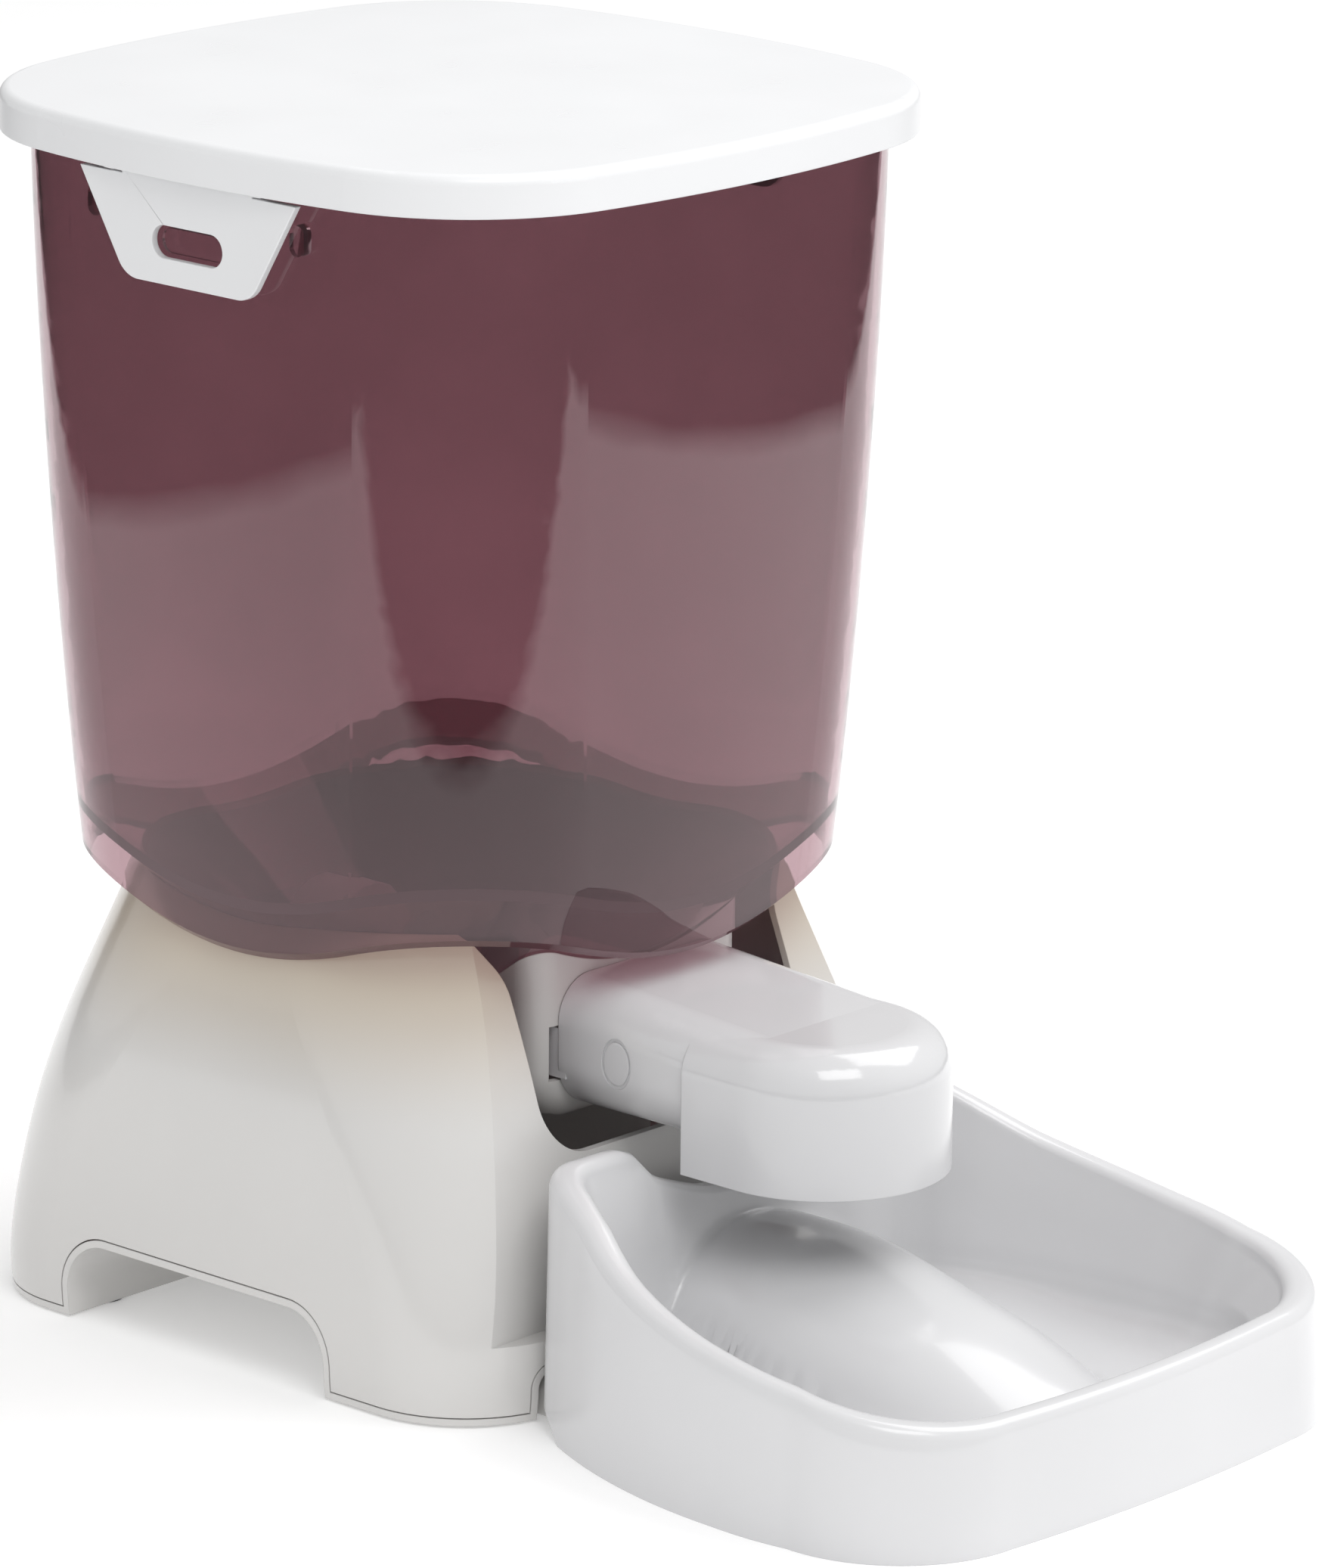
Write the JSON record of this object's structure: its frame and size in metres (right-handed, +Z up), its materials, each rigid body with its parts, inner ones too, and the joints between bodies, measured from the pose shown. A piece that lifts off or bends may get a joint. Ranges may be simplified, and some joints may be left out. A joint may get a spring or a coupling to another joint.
{
  "type": "automatic pet feeder",
  "caption": "Dry food feeder: smoky hopper with latched lid on a moulded base; a motor-driven screw pushes kibble along a hooded chute into a pull-off bowl.",
  "frame": {"origin": "middle of the whole footprint, base and bowl together, at floor level", "axes": "+Z up, the bowl and chute towards -Y, +X to the right seen from the front"},
  "size_m": [0.232, 0.3894, 0.3658],
  "materials": {
    "white_shell": "gloss",
    "white_lid": "satin",
    "white_chute": "gloss",
    "white_bowl": "satin gloss",
    "smoke": "transparent gloss",
    "grey_white": "satin",
    "rubber": "matt",
    "bush": "satin",
    "steel": "bright",
    "cell_wrap": "printed film",
    "contact": "plated",
    "board": "lacquered",
    "display": "liquid crystal",
    "clear": "clear",
    "panel_grey": "satin",
    "button_grey": "soft touch",
    "screw_plastic": "satin",
    "gear_plastic": "satin",
    "brass": "machined"
  },
  "bodies": {
    "base": {"base_shell": "white_shell", "base_tray": "white_shell", "rubber_feet": "rubber", "feed_housing": "grey_white", "screw_bush": "bush", "gearbox_cover": "grey_white", "gearbox_screws": "steel", "housing_screws": "steel", "tray_screws": "steel", "idler_pin": "steel", "drive_motor": "steel", "battery_box": "grey_white", "batteries": "cell_wrap", "battery_contacts": "contact", "circuit_board": "board", "display": "display", "display_window": "clear", "control_bezel": "panel_grey"},
    "screw": {"feed_screw": "screw_plastic", "screw_gear": "gear_plastic"},
    "idler": {"idler_gear": "gear_plastic"},
    "rotor": {"motor_pinion": "brass", "motor_shaft": "steel"},
    "hopper": {"hopper": "smoke"},
    "lid": {"lid": "white_lid", "lid_seal": "rubber", "latch_pins": "steel"},
    "latch_left": {"latch_left": "white_lid"},
    "latch_right": {"latch_right": "white_lid"},
    "chute": {"chute": "white_chute"},
    "bowl": {"bowl": "white_bowl"},
    "battery_door": {"battery_door": "white_shell"},
    "feed_button": {"feed_button": "button_grey"},
    "set_button": {"set_button": "button_grey"},
    "up_button": {"up_button": "button_grey"},
    "down_button": {"down_button": "button_grey"}
  },
  "joints": [
    {"name": "screw_turn", "type": "hinge", "parent": "base", "child": "screw", "pos_m": [0, 0.07885, 0.098], "axis": [0, 1, 0], "continuous": true},
    {"name": "idler_turn", "type": "hinge", "parent": "base", "child": "idler", "pos_m": [0, 0.07885, 0.069], "axis": [0, 1, 0], "continuous": true},
    {"name": "rotor_turn", "type": "hinge", "parent": "base", "child": "rotor", "pos_m": [0, 0.07885, 0.048], "axis": [0, 1, 0], "continuous": true},
    {"name": "hopper_lift", "type": "slide", "parent": "base", "child": "hopper", "axis": [0, 0, 1], "range_m": [0, 0.08]},
    {"name": "lid_lift", "type": "slide", "parent": "hopper", "child": "lid", "axis": [0, 0, 1], "range_m": [0, 0.06]},
    {"name": "latch_left_swing", "type": "hinge", "parent": "lid", "child": "latch_left", "pos_m": [-0.1103, 0.07885, 0.355], "axis": [0, 1, 0], "range_deg": [0, 25]},
    {"name": "latch_right_swing", "type": "hinge", "parent": "lid", "child": "latch_right", "pos_m": [0.1103, 0.07885, 0.355], "axis": [0, -1, 0], "range_deg": [0, 25]},
    {"name": "chute_pull", "type": "slide", "parent": "base", "child": "chute", "axis": [0, -1, 0], "range_m": [0, 0.04]},
    {"name": "bowl_pull", "type": "slide", "parent": "base", "child": "bowl", "axis": [0, -1, 0], "range_m": [0, 0.08]},
    {"name": "battery_door_slide", "type": "slide", "parent": "base", "child": "battery_door", "axis": [1, 0, 0], "range_m": [0, 0.04]},
    {"name": "feed_button_press", "type": "slide", "parent": "base", "child": "feed_button", "axis": [0, -1, 0], "range_m": [0, 0.0012], "stiffness_N_per_m": 500},
    {"name": "set_button_press", "type": "slide", "parent": "base", "child": "set_button", "axis": [0, -1, 0], "range_m": [0, 0.0012], "stiffness_N_per_m": 500},
    {"name": "up_button_press", "type": "slide", "parent": "base", "child": "up_button", "axis": [0, -1, 0], "range_m": [0, 0.0012], "stiffness_N_per_m": 500},
    {"name": "down_button_press", "type": "slide", "parent": "base", "child": "down_button", "axis": [0, -1, 0], "range_m": [0, 0.0012], "stiffness_N_per_m": 500}
  ],
  "couplings": [
    {"joint": "idler_turn", "follows": "screw_turn", "ratio": -0.93333},
    {"joint": "rotor_turn", "follows": "screw_turn", "ratio": 2.3333}
  ]
}
